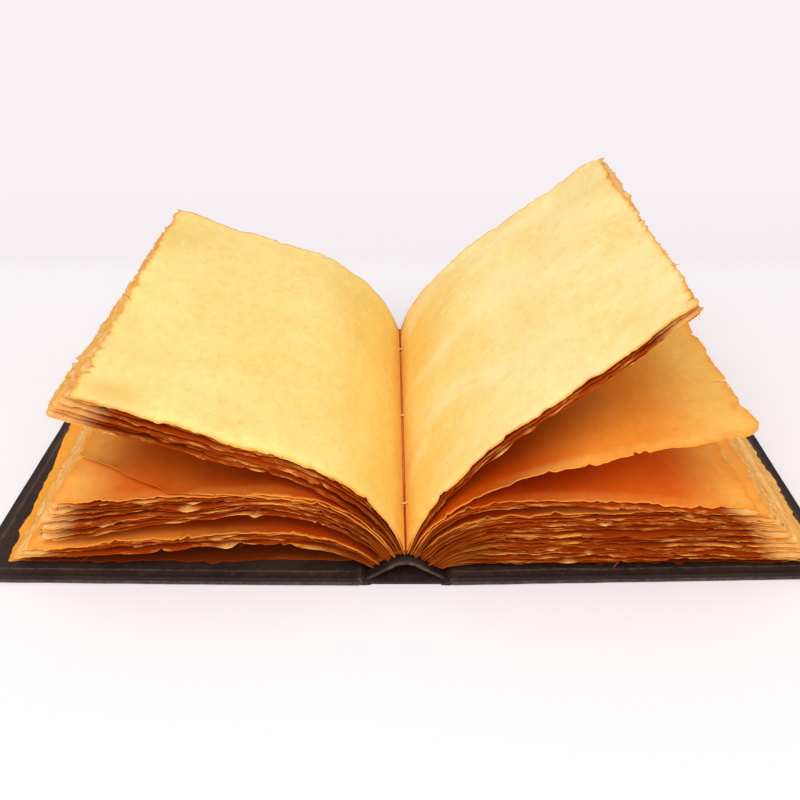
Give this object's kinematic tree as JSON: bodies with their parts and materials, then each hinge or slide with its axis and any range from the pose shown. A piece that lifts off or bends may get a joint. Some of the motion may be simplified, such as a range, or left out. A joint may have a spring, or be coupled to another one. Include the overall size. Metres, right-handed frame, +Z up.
{
  "type": "open notebook",
  "caption": "Case-bound notebook of handmade paper, lying open on its two covers with its leaves fanned and its spine lining arched.",
  "frame": {"origin": "on the table, under the middle of the spine and midway from head to tail", "axes": "+X towards the back cover's fore-edge, across the open book; +Y along the spine towards the head; +Z up from the table"},
  "size_m": [0.2888, 0.188, 0.0982],
  "materials": {
    "leaves": "rough handmade sheet, torn edges stained darker",
    "endpaper": "rough handmade sheet",
    "leather": "worn, fine grain",
    "board": "plain",
    "thread": "waxed"
  },
  "bodies": {
    "text_block": {"pages": "leaves", "sewing_thread": "thread", "spine_leather": "leather", "spine_liner": "leather"},
    "front_cover": {"front_cover_leather": "leather", "front_board": "board", "front_pastedown": "endpaper"},
    "back_cover": {"back_cover_leather": "leather", "back_board": "board", "back_pastedown": "endpaper"}
  },
  "joints": [
    {"name": "front_cover_hinge", "type": "hinge", "parent": "text_block", "child": "front_cover", "pos_m": [-0.014, 0, 0.0004], "axis": [0, -1, 0], "range_deg": [0, 90]},
    {"name": "back_cover_hinge", "type": "hinge", "parent": "text_block", "child": "back_cover", "pos_m": [0.014, 0, 0.0004], "axis": [0, 1, 0], "range_deg": [0, 90]}
  ]
}
